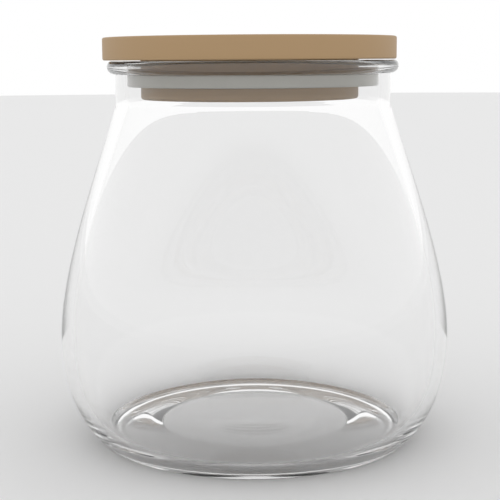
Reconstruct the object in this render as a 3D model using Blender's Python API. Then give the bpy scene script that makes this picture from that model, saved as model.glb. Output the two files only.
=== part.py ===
"""Storage jar of pressed clear glass with a turned bamboo lid.

Three pieces: the pear-shaped glass jar, the solid bamboo lid whose plug drops into
the neck, and the silicone sealing ring in the plug's groove. The glass stands on
z = 0 with its axis on Z. The lid sits a little off that axis, as the photo shows.
"""

import math

import bmesh
import bpy
from mathutils import Matrix

# Outside of the glass, in metres
BELLY_RADIUS = 0.0650
BELLY_HEIGHT = 0.0338
NECK_RADIUS = 0.0452
NECK_FOOT = 0.1119
BEAD_RADIUS = 0.0478
BEAD_HEIGHT = 0.1233
BEAD_FOOT = 0.1204
RIM_HEIGHT = 0.1252
RIM_OUTER_RADIUS = 0.0464
HEEL_RADIUS = 0.0521
HEEL_ROUND = 0.0012

# Inside of the glass
MOUTH_RADIUS = 0.0416
INNER_BELLY_RADIUS = 0.0611
INNER_BELLY_HEIGHT = 0.0350
FLOOR_RADIUS = 0.0440
FLOOR_HEIGHT = 0.0060
FLOOR_CROWN = 0.0012

# Underside: a flat foot ring round a raised middle
FOOT_INNER_RADIUS = 0.0465
RECESS_RADIUS = 0.0445
RECESS_HEIGHT = 0.0008
PUNT_FOOT_RADIUS = 0.0340
PUNT_EDGE_RADIUS = 0.0315
PUNT_EDGE_HEIGHT = 0.0022
PUNT_HEIGHT = 0.0032

# Bamboo lid
LID_RADIUS = 0.0481
LID_OFFSET_X = -0.00125
LID_TOP = 0.1328
PLATE_FOOT = 0.1255
PLUG_RADIUS = 0.0358
PLUG_FOOT = 0.1128
LID_EDGE_ROUND = 0.0006
PLUG_EDGE_ROUND = 0.0008

# Sealing ring, and the groove that holds it
RING_FOOT = 0.1170
RING_TOP = 0.1208
GROOVE_DEPTH = 0.0020
CLEARANCE = 0.0003
RING_EDGE_ROUND = 0.0004
RING_LIP_DEPTH = 0.0005

SEGMENTS = 48
SMOOTH_ANGLE = math.radians(30.0)


def bezier(start, handle_a, handle_b, end, steps):
    """Points (radius, height) along a cubic curve, both ends included."""
    points = []
    for step in range(steps + 1):
        t = step / steps
        weights = ((1 - t) ** 3, 3 * (1 - t) ** 2 * t, 3 * (1 - t) * t ** 2, t ** 3)
        corners = (start, handle_a, handle_b, end)
        points.append(tuple(sum(w * c[axis] for w, c in zip(weights, corners)) for axis in (0, 1)))
    return points


def arc(centre, radii, start_degrees, end_degrees, steps):
    """Points on an ellipse round centre; 0 degrees points outwards and 90 up."""
    points = []
    for step in range(steps + 1):
        angle = math.radians(start_degrees + (end_degrees - start_degrees) * step / steps)
        points.append((centre[0] + radii[0] * math.cos(angle), centre[1] + radii[1] * math.sin(angle)))
    return points


def underside_outline():
    """From the axis outwards: domed punt, its step, the shallow recess and the foot ring."""
    punt = bezier(
        (0.0, PUNT_HEIGHT),
        (PUNT_EDGE_RADIUS * 0.4, PUNT_HEIGHT),
        (PUNT_EDGE_RADIUS * 0.8, PUNT_EDGE_HEIGHT + 0.0004),
        (PUNT_EDGE_RADIUS, PUNT_EDGE_HEIGHT),
        3,
    )
    return punt + [
        (PUNT_FOOT_RADIUS, RECESS_HEIGHT),
        (RECESS_RADIUS, RECESS_HEIGHT),
        (FOOT_INNER_RADIUS, 0.0),
        (HEEL_RADIUS - HEEL_ROUND, 0.0),
    ]


def outer_wall_outline():
    """Heel, belly and shoulder, from the foot ring up to the straight neck."""
    lower = bezier(
        (HEEL_RADIUS, HEEL_ROUND * 0.35),
        (HEEL_RADIUS + 0.0042, HEEL_ROUND * 1.6),
        (BELLY_RADIUS, BELLY_HEIGHT - 0.0232),
        (BELLY_RADIUS, BELLY_HEIGHT),
        9,
    )
    upper = bezier(
        (BELLY_RADIUS, BELLY_HEIGHT),
        (BELLY_RADIUS, BELLY_HEIGHT + 0.0276),
        (NECK_RADIUS, NECK_FOOT - 0.0056),
        (NECK_RADIUS, NECK_FOOT),
        11,
    )
    return lower + upper[1:]


def bead_outline():
    """The rounded bead under the lid, from the neck up to the flat rim."""
    lower = arc((NECK_RADIUS, BEAD_HEIGHT), (BEAD_RADIUS - NECK_RADIUS, BEAD_HEIGHT - BEAD_FOOT), -90, 0, 4)
    upper = arc(
        (RIM_OUTER_RADIUS, BEAD_HEIGHT),
        (BEAD_RADIUS - RIM_OUTER_RADIUS, RIM_HEIGHT - BEAD_HEIGHT),
        0,
        90,
        3,
    )
    return lower + upper[1:]


def inner_outline():
    """From the mouth down the inside wall and across the floor to the axis."""
    mouth_round = 0.0012
    mouth = arc((MOUTH_RADIUS + mouth_round, RIM_HEIGHT - mouth_round), (mouth_round, mouth_round), 90, 180, 2)
    shoulder = bezier(
        (MOUTH_RADIUS, NECK_FOOT),
        (MOUTH_RADIUS, NECK_FOOT - 0.0056),
        (INNER_BELLY_RADIUS, INNER_BELLY_HEIGHT + 0.0276),
        (INNER_BELLY_RADIUS, INNER_BELLY_HEIGHT),
        9,
    )
    lower = bezier(
        (INNER_BELLY_RADIUS, INNER_BELLY_HEIGHT),
        (INNER_BELLY_RADIUS, INNER_BELLY_HEIGHT - 0.0190),
        (FLOOR_RADIUS + 0.0090, FLOOR_HEIGHT),
        (FLOOR_RADIUS, FLOOR_HEIGHT),
        7,
    )
    floor = [(FLOOR_RADIUS * 0.5, FLOOR_HEIGHT + FLOOR_CROWN * 0.75), (0.0, FLOOR_HEIGHT + FLOOR_CROWN)]
    return mouth + shoulder + lower[1:] + floor


def jar_outline():
    return underside_outline() + outer_wall_outline() + bead_outline() + inner_outline()


def lid_outline():
    """From the axis under the plug, round the groove and the plate, to the axis on top."""
    groove_radius = PLUG_RADIUS - GROOVE_DEPTH
    plug_foot = [
        (0.0, PLUG_FOOT),
        (PLUG_RADIUS - PLUG_EDGE_ROUND, PLUG_FOOT),
        (PLUG_RADIUS, PLUG_FOOT + PLUG_EDGE_ROUND),
    ]
    groove = [
        (PLUG_RADIUS, RING_FOOT - CLEARANCE),
        (groove_radius, RING_FOOT - CLEARANCE),
        (groove_radius, RING_TOP + CLEARANCE),
        (PLUG_RADIUS, RING_TOP + CLEARANCE),
    ]
    plate = [
        (PLUG_RADIUS, PLATE_FOOT),
        (LID_RADIUS - LID_EDGE_ROUND, PLATE_FOOT),
        (LID_RADIUS, PLATE_FOOT + LID_EDGE_ROUND),
        (LID_RADIUS, LID_TOP - LID_EDGE_ROUND),
        (LID_RADIUS - LID_EDGE_ROUND, LID_TOP),
        (0.0, LID_TOP),
    ]
    return plug_foot + groove + plate


def ring_outline():
    """Closed section of the ring: a flat band with one shallow line near its foot."""
    inner = PLUG_RADIUS - GROOVE_DEPTH + CLEARANCE
    outer = MOUTH_RADIUS - CLEARANCE
    line_height = RING_FOOT + (RING_TOP - RING_FOOT) * 0.33
    return [
        (inner, RING_FOOT),
        (outer - RING_EDGE_ROUND, RING_FOOT),
        (outer, RING_FOOT + RING_EDGE_ROUND),
        (outer, line_height - RING_LIP_DEPTH),
        (outer - RING_LIP_DEPTH, line_height),
        (outer, line_height + RING_LIP_DEPTH),
        (outer, RING_TOP - RING_EDGE_ROUND),
        (outer - RING_EDGE_ROUND, RING_TOP),
        (inner, RING_TOP),
    ]


def turned(outline, closed):
    """Turn an outline of (radius, height) points once round Z."""
    mesh = bmesh.new()
    corners = [mesh.verts.new((radius, 0.0, height)) for radius, height in outline]
    pairs = list(zip(corners, corners[1:]))
    if closed:
        pairs.append((corners[-1], corners[0]))
    edges = [mesh.edges.new(pair) for pair in pairs]
    bmesh.ops.spin(
        mesh,
        geom=corners + edges,
        cent=(0.0, 0.0, 0.0),
        axis=(0.0, 0.0, 1.0),
        angle=math.tau,
        steps=SEGMENTS,
        use_merge=True,
    )
    bmesh.ops.remove_doubles(mesh, verts=mesh.verts, dist=1e-6)
    bmesh.ops.recalc_face_normals(mesh, faces=mesh.faces)
    return mesh


def add_piece(name, mesh, material):
    data = bpy.data.meshes.new(name)
    mesh.to_mesh(data)
    mesh.free()
    data.materials.append(material)
    data.shade_smooth()
    data.set_sharp_from_angle(angle=SMOOTH_ANGLE)
    piece = bpy.data.objects.new(name, data)
    bpy.context.scene.collection.objects.link(piece)
    return piece


def surface(name, colour, roughness, metallic=0.0, transmission=0.0, ior=1.5):
    material = bpy.data.materials.new(name)
    material.use_nodes = True
    shader = material.node_tree.nodes["Principled BSDF"]
    shader.inputs["Base Color"].default_value = (*colour, 1.0)
    shader.inputs["Roughness"].default_value = roughness
    shader.inputs["Metallic"].default_value = metallic
    shader.inputs["Transmission Weight"].default_value = transmission
    shader.inputs["IOR"].default_value = ior
    return material


def make_jar():
    glass = surface("clear_glass", (0.93, 0.97, 0.95), 0.02, transmission=1.0, ior=1.52)
    return add_piece("glass_jar", turned(jar_outline(), closed=False), glass)


def make_lid():
    bamboo = surface("bamboo_end_grain", (0.50, 0.31, 0.15), 0.55)
    mesh = turned(lid_outline(), closed=False)
    bmesh.ops.translate(mesh, verts=mesh.verts, vec=(LID_OFFSET_X, 0.0, 0.0))
    return add_piece("bamboo_lid", mesh, bamboo)


def make_ring():
    """The outside is round about the glass, and the hole is round about the lid."""
    silicone = surface("milky_silicone", (0.55, 0.54, 0.49), 0.45)
    mesh = turned(ring_outline(), closed=True)
    middle = (PLUG_RADIUS + MOUTH_RADIUS) / 2
    hole = [corner for corner in mesh.verts if math.hypot(corner.co.x, corner.co.y) < middle]
    bmesh.ops.transform(mesh, matrix=Matrix.Translation((LID_OFFSET_X, 0.0, 0.0)), verts=hole)
    return add_piece("seal_ring", mesh, silicone)


def main():
    for item in list(bpy.data.objects):
        bpy.data.objects.remove(item, do_unlink=True)
    make_jar()
    make_lid()
    make_ring()


main()
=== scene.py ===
# %% [markdown]
# # A storage jar of pressed glass with a bamboo lid
#
# The real jar is one thick-walled piece of clear glass. A bamboo lid drops into its neck, and a milky
# silicone ring on the lid's plug closes the gap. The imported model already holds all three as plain
# solids. This lesson makes a smoother piece in place of each of them. The glass refracts as glass
# does. The lid, the ring and the floor still have one plain colour each, and the light is plain too.

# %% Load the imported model
import math

import bmesh
import bpy
from mathutils import Matrix, Vector
from mathutils.geometry import interpolate_bezier


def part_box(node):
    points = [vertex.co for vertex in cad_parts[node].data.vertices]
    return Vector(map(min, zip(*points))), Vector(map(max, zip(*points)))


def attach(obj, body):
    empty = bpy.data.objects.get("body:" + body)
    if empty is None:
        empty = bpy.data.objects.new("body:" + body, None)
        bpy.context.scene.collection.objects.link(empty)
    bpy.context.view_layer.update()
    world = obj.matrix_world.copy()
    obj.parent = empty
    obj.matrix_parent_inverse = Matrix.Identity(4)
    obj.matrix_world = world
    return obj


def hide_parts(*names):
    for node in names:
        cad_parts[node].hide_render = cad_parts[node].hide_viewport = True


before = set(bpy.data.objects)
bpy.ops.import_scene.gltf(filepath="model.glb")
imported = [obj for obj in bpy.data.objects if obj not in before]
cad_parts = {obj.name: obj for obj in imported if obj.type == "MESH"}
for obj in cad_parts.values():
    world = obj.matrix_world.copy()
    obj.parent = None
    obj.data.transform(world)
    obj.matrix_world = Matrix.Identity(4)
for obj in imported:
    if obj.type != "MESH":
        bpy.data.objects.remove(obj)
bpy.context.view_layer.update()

MM = 0.001
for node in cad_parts:
    low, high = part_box(node)
    print(f"{node}: {[round(v / MM, 2) for v in low]} to {[round(v / MM, 2) for v in high]} mm")

# %% [markdown]
# ## The camera
#
# The photograph was taken from close by with a long lens, a little higher than the jar's neck and tilted
# down. That is why the lid shows its edge and not its top, and why the base shows a deep curve. The
# camera's place was worked out from those two curves and from the outline of the glass.

# %% Camera
CAMERA_DISTANCE = 402.5 * MM
CAMERA_HEIGHT = 126.0 * MM
CAMERA_SIDE = -1.3 * MM
LOOKING_DOWN = math.radians(9.034)
CAMERA_ROLL = math.radians(-0.38)
SENSOR_WIDTH_MM = 36.0
LENS_MM = 86.94

camera_data = bpy.data.cameras.new("camera")
camera_data.sensor_width = SENSOR_WIDTH_MM
camera_data.lens = LENS_MM
camera_data.clip_start, camera_data.clip_end = 0.01, 30.0
camera = bpy.data.objects.new("camera", camera_data)
camera.matrix_world = (
    Matrix.Translation((CAMERA_SIDE, -CAMERA_DISTANCE, CAMERA_HEIGHT))
    @ Matrix.Rotation(math.radians(90.0) - LOOKING_DOWN, 4, "X")
    @ Matrix.Rotation(CAMERA_ROLL, 4, "Z")
)
bpy.context.scene.collection.objects.link(camera)
bpy.context.scene.camera = camera
print("camera at", [round(v, 4) for v in camera.location], "lens", camera_data.lens)

# %% [markdown]
# ## Turning a shape
#
# All three pieces are round, so each is drawn as an outline of (radius, height) points and spun round
# the axis, as on a lathe. A curve that has to be smooth is a Bezier curve cut into many points, and a
# rounded corner of the glass is an arc. An arris of the lid or the ring is drawn as a sharp corner and
# bevelled after the spin, because then one number sets how round it is.

# %% Helpers for turned pieces
TURN_STEPS = 192


def curve(start, handle_a, handle_b, end, points):
    """Points (radius, height) along a Bezier curve, both ends included."""
    corners = [Vector((radius, height, 0.0)) for radius, height in (start, handle_a, handle_b, end)]
    return [(p.x, p.y) for p in interpolate_bezier(*corners, points)]


def arc(centre, radii, start, end, points):
    """Points on an ellipse round centre; 0 degrees points outwards and 90 up."""
    angles = [math.radians(start + (end - start) * step / (points - 1)) for step in range(points)]
    return [(centre[0] + radii[0] * math.cos(a), centre[1] + radii[1] * math.sin(a)) for a in angles]


def turn(outline, closed=False):
    """Spin an outline of (radius, height) points once round Z and close its seam and poles."""
    mesh = bmesh.new()
    corners = [mesh.verts.new((radius, 0.0, height)) for radius, height in outline]
    pairs = list(zip(corners, corners[1:])) + ([(corners[-1], corners[0])] if closed else [])
    edges = [mesh.edges.new(pair) for pair in pairs]
    bmesh.ops.spin(mesh, geom=corners + edges, cent=(0, 0, 0), axis=(0, 0, 1), angle=math.tau,
                   steps=TURN_STEPS, use_merge=True)
    bmesh.ops.remove_doubles(mesh, verts=mesh.verts, dist=1e-6)
    bmesh.ops.recalc_face_normals(mesh, faces=mesh.faces)
    return mesh


def round_arris(mesh, radius, height, size, segments):
    """Bevel the ring of edges that a corner of the outline left at this radius and height."""
    def on_ring(vertex):
        return (abs(math.hypot(vertex.co.x, vertex.co.y) - radius) < 1e-6
                and abs(vertex.co.z - height) < 1e-6)
    ring_edges = [edge for edge in mesh.edges if all(on_ring(vertex) for vertex in edge.verts)]
    bmesh.ops.bevel(mesh, geom=ring_edges, offset=size, offset_type="OFFSET", affect="EDGES",
                    segments=segments, profile=0.5, material=-1, clamp_overlap=True)
    return len(ring_edges)


# %% [markdown]
# ## Finishing a piece
#
# A finished mesh becomes an object, rides on the jar's one body and takes the place of its packed
# solid. Edges that turn by more than the given angle stay sharp, and all others are shaded smooth.

# %% Helper that finishes a piece
SHARP_ANGLE = math.radians(60.0)


def finish_piece(name, mesh, material, node):
    data = bpy.data.meshes.new(name)
    mesh.to_mesh(data)
    mesh.free()
    data.materials.append(material)
    data.shade_smooth()
    data.set_sharp_from_angle(angle=SHARP_ANGLE)
    piece = bpy.data.objects.new(name, data)
    bpy.context.scene.collection.objects.link(piece)
    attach(piece, "root")
    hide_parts(node)
    triangles = sum(len(face.vertices) - 2 for face in data.polygons)
    print(f"{name}: {triangles} triangles, {[round(v / MM, 2) for v in piece.dimensions]} mm")
    return piece


# %% [markdown]
# ## Materials
#
# Clear glass lets all light through and bends it by its index of refraction, about 1.52. The other
# surfaces use one plain colour and a roughness. They are stand-ins: the real lid shows the dark ends of
# the bamboo's fibre bundles, and the real ring lets some light through.

# %% Materials
def principled(name, colour, roughness):
    """A material with one colour; also returns its shader, for anything more it needs."""
    material = bpy.data.materials.new(name)
    material.use_nodes = True
    shader = material.node_tree.nodes["Principled BSDF"]
    shader.inputs["Base Color"].default_value = (*colour, 1.0)
    shader.inputs["Roughness"].default_value = roughness
    return material, shader


clear_glass, glass_shader = principled("clear_glass", (1.0, 1.0, 1.0), 0.0)
glass_shader.inputs["IOR"].default_value = 1.52
glass_shader.inputs["Transmission Weight"].default_value = 1.0
bamboo, _ = principled("bamboo", (0.40, 0.26, 0.13), 0.55)
milky_silicone, _ = principled("milky_silicone", (0.55, 0.54, 0.49), 0.45)
floor_paint, _ = principled("floor_paint", (0.8, 0.8, 0.8), 0.9)
print("materials:", [material.name for material in (clear_glass, bamboo, milky_silicone, floor_paint)])

# %% [markdown]
# ## The jar
#
# The real jar is one piece of pressed glass, taken here to have a wall of nearly even thickness. Its
# outline runs once round the glass: under the base, up the outside, over the bead and the rim, and
# down the inside to the middle of the floor. It could be a solid with a second one cut out of it, but
# one outline keeps the wall's thickness in view, and glass needs one closed skin to bend light rightly.

# %% Sizes of the jar
BELLY_RADIUS, BELLY_HEIGHT = 65.0 * MM, 34.5 * MM
NECK_RADIUS, NECK_FOOT = 45.2 * MM, 111.7 * MM
BEAD_RADIUS, BEAD_HEIGHT, BEAD_FOOT = 47.8 * MM, 123.4 * MM, 121.0 * MM
RIM_HEIGHT, RIM_OUTER_RADIUS = 125.2 * MM, 46.4 * MM
FOOT_RADIUS, HEEL_ROUND = 51.85 * MM, 1.6 * MM
HEEL_START, HEEL_END = -90, -54
HEEL_HANDLE_OUT, HEEL_HANDLE_UP = 0.6 * MM, 0.44 * MM
BELLY_HANDLE_DOWN, BELLY_HANDLE_UP = 25.1 * MM, 26.1 * MM
NECK_HANDLE_DOWN = 4.7 * MM

MOUTH_RADIUS, MOUTH_ROUND = 41.6 * MM, 1.2 * MM
INNER_BELLY_RADIUS, INNER_BELLY_HEIGHT = 61.1 * MM, 35.5 * MM
INNER_HEEL_DROP, INNER_HEEL_REACH = 24.5 * MM, 5.5 * MM
FLOOR_RADIUS, FLOOR_HEIGHT, FLOOR_CROWN = 46.0 * MM, 3.0 * MM, 3.0 * MM
FLOOR_RIM, FLOOR_FLAT = 0.6, 0.45

FOOT_INNER_RADIUS = 46.5 * MM
RECESS_RADIUS, RECESS_HEIGHT = 44.5 * MM, 0.5 * MM
PUNT_FOOT_RADIUS = 34.0 * MM
PUNT_EDGE_RADIUS, PUNT_EDGE_HEIGHT, PUNT_HEIGHT = 32.0 * MM, 2.4 * MM, 4.0 * MM
PUNT_FLAT, PUNT_EDGE_REACH, PUNT_EDGE_LIFT = 0.5, 0.8, 0.4
print("wall at the belly:", round((BELLY_RADIUS - INNER_BELLY_RADIUS) / MM, 2), "mm")

# %% [markdown]
# ### Outside of the jar
#
# The underside is a foot ring round a shallow recess with a raised middle. The heel is an arc that the
# lower wall continues, so that no crease shows where they meet. The bead under the lid is two arcs.

# %% Outside of the jar
underside = curve(
    (0.0, PUNT_HEIGHT),
    (PUNT_EDGE_RADIUS * PUNT_FLAT, PUNT_HEIGHT),
    (PUNT_EDGE_RADIUS * PUNT_EDGE_REACH,
     PUNT_EDGE_HEIGHT + (PUNT_HEIGHT - PUNT_EDGE_HEIGHT) * PUNT_EDGE_LIFT),
    (PUNT_EDGE_RADIUS, PUNT_EDGE_HEIGHT),
    30)
underside += [(PUNT_FOOT_RADIUS, RECESS_HEIGHT), (RECESS_RADIUS, RECESS_HEIGHT), (FOOT_INNER_RADIUS, 0.0)]
heel = arc((FOOT_RADIUS, HEEL_ROUND), (HEEL_ROUND, HEEL_ROUND), HEEL_START, HEEL_END, 8)
heel_top = heel[-1]
lower_wall = curve(
    heel_top,
    (heel_top[0] + HEEL_HANDLE_OUT, heel_top[1] + HEEL_HANDLE_UP),
    (BELLY_RADIUS, BELLY_HEIGHT - BELLY_HANDLE_DOWN),
    (BELLY_RADIUS, BELLY_HEIGHT),
    40)
upper_wall = curve(
    (BELLY_RADIUS, BELLY_HEIGHT),
    (BELLY_RADIUS, BELLY_HEIGHT + BELLY_HANDLE_UP),
    (NECK_RADIUS, NECK_FOOT - NECK_HANDLE_DOWN),
    (NECK_RADIUS, NECK_FOOT),
    48)
bead = arc((NECK_RADIUS, BEAD_HEIGHT), (BEAD_RADIUS - NECK_RADIUS, BEAD_HEIGHT - BEAD_FOOT), -90, 0, 10)
bead += arc((RIM_OUTER_RADIUS, BEAD_HEIGHT),
            (BEAD_RADIUS - RIM_OUTER_RADIUS, RIM_HEIGHT - BEAD_HEIGHT), 0, 90, 8)[1:]
outside = underside + heel + lower_wall[1:] + upper_wall[1:] + bead
print("points outside:", len(outside))

# %% [markdown]
# ### Inside of the jar
#
# The inside follows the outside's curves with the same handles, a wall's thickness further in, so the
# wall stays even. Near the floor it turns in more tightly, and the floor rises a little to its middle.

# %% Inside of the jar
mouth = arc((MOUTH_RADIUS + MOUTH_ROUND, RIM_HEIGHT - MOUTH_ROUND), (MOUTH_ROUND, MOUTH_ROUND), 90, 180, 7)
inner_wall = curve(
    (MOUTH_RADIUS, NECK_FOOT),
    (MOUTH_RADIUS, NECK_FOOT - NECK_HANDLE_DOWN),
    (INNER_BELLY_RADIUS, INNER_BELLY_HEIGHT + BELLY_HANDLE_UP),
    (INNER_BELLY_RADIUS, INNER_BELLY_HEIGHT),
    48)
inner_heel = curve(
    (INNER_BELLY_RADIUS, INNER_BELLY_HEIGHT),
    (INNER_BELLY_RADIUS, INNER_BELLY_HEIGHT - INNER_HEEL_DROP),
    (FLOOR_RADIUS + INNER_HEEL_REACH, FLOOR_HEIGHT),
    (FLOOR_RADIUS, FLOOR_HEIGHT),
    36)
jar_floor = curve(
    (FLOOR_RADIUS, FLOOR_HEIGHT),
    (FLOOR_RADIUS * FLOOR_RIM, FLOOR_HEIGHT),
    (FLOOR_RADIUS * FLOOR_FLAT, FLOOR_HEIGHT + FLOOR_CROWN),
    (0.0, FLOOR_HEIGHT + FLOOR_CROWN),
    24)
inside = mouth + inner_wall + inner_heel[1:] + jar_floor[1:]
jar = finish_piece("jar_glass", turn(outside + inside), clear_glass, "glass_jar")

# %% [markdown]
# ## The lid
#
# The real lid is one piece of laminated bamboo: a plate that lies on the rim and a plug that drops into
# the neck, with a groove for the ring. It is turned like the jar, its arrises are softened as sanding
# does, and it is moved a little to the left, as it lies in the photograph.

# %% Lid
LID_RADIUS, LID_OFFSET_X = 48.1 * MM, -1.05 * MM
LID_TOP, PLATE_FOOT = 132.8 * MM, 125.5 * MM
PLUG_RADIUS, PLUG_FOOT = 35.8 * MM, 112.8 * MM
RING_FOOT, RING_TOP = 117.0 * MM, 120.8 * MM
GROOVE_DEPTH = 2.0 * MM
CLEARANCE = 0.3 * MM
PLUG_ARRIS, PLATE_ARRIS = 0.8 * MM, 0.6 * MM
LID_ARRIS_SEGMENTS = 4

groove_radius = PLUG_RADIUS - GROOVE_DEPTH
lid_outline = [
    (0.0, PLUG_FOOT), (PLUG_RADIUS, PLUG_FOOT),
    (PLUG_RADIUS, RING_FOOT - CLEARANCE), (groove_radius, RING_FOOT - CLEARANCE),
    (groove_radius, RING_TOP + CLEARANCE), (PLUG_RADIUS, RING_TOP + CLEARANCE),
    (PLUG_RADIUS, PLATE_FOOT), (LID_RADIUS, PLATE_FOOT),
    (LID_RADIUS, LID_TOP), (0.0, LID_TOP)]
lid_mesh = turn(lid_outline)
for radius, height, size in (
        (PLUG_RADIUS, PLUG_FOOT, PLUG_ARRIS),
        (LID_RADIUS, PLATE_FOOT, PLATE_ARRIS),
        (LID_RADIUS, LID_TOP, PLATE_ARRIS)):
    print("edges rounded:", round_arris(lid_mesh, radius, height, size, LID_ARRIS_SEGMENTS))
bmesh.ops.translate(lid_mesh, verts=lid_mesh.verts, vec=(LID_OFFSET_X, 0, 0))
lid = finish_piece("lid_bamboo", lid_mesh, bamboo, "bamboo_lid")

# %% [markdown]
# ## The sealing ring
#
# The real ring is soft and presses on the glass and on the plug. Here it keeps a small gap to both. Its
# outside stays round about the glass while its hole moves with the lid, so the gap is even all round.

# %% Sealing ring
RING_ARRIS, RING_ARRIS_SEGMENTS = 0.4 * MM, 3

ring_inner = groove_radius + CLEARANCE
ring_outer = MOUTH_RADIUS - CLEARANCE
ring_outline = [
    (ring_inner, RING_FOOT), (ring_outer, RING_FOOT),
    (ring_outer, RING_TOP), (ring_inner, RING_TOP)]
ring_mesh = turn(ring_outline, closed=True)
hole = [v for v in ring_mesh.verts if math.hypot(v.co.x, v.co.y) < (ring_inner + ring_outer) / 2]
bmesh.ops.translate(ring_mesh, verts=hole, vec=(LID_OFFSET_X, 0, 0))
for height in (RING_FOOT, RING_TOP):
    print("edges rounded:", round_arris(ring_mesh, ring_outer, height, RING_ARRIS, RING_ARRIS_SEGMENTS))
ring = finish_piece("ring_silicone", ring_mesh, milky_silicone, "seal_ring")

# %% [markdown]
# ## The floor
#
# The jar stands on a plain pale surface, here a wide disc. It lies a tenth of a millimetre under the
# glass, so that the foot ring and the disc don't share one plane.

# %% Floor
STAGE_RADIUS = 4.0
STAGE_SEGMENTS = 128
GAP_UNDER_GLASS = 0.0001

floor_mesh = bmesh.new()
bmesh.ops.create_circle(floor_mesh, cap_ends=True, segments=STAGE_SEGMENTS, radius=STAGE_RADIUS)
floor_data = bpy.data.meshes.new("floor")
floor_mesh.to_mesh(floor_data)
floor_mesh.free()
floor_data.materials.append(floor_paint)
floor = bpy.data.objects.new("floor", floor_data)
bpy.context.scene.collection.objects.link(floor)
floor.location.z = -GAP_UNDER_GLASS
print("floor radius:", STAGE_RADIUS, "m")

# %% [markdown]
# ## Light
#
# A white world lights the jar evenly from everywhere. Light is bent and reflected many times inside
# thick glass, and where a path is cut short the glass turns black, so many bounces are allowed.

# %% Light
LIGHT_BOUNCES = 32

world = bpy.data.worlds.new("studio")
bpy.context.scene.world = world
world.use_nodes = True
world.node_tree.nodes["Background"].inputs["Color"].default_value = (1.0, 1.0, 1.0, 1.0)
bpy.context.scene.view_settings.view_transform = "Standard"
cycles = bpy.context.scene.cycles
cycles.max_bounces = LIGHT_BOUNCES
cycles.glossy_bounces = LIGHT_BOUNCES
cycles.transmission_bounces = LIGHT_BOUNCES
print("bounces:", cycles.max_bounces)
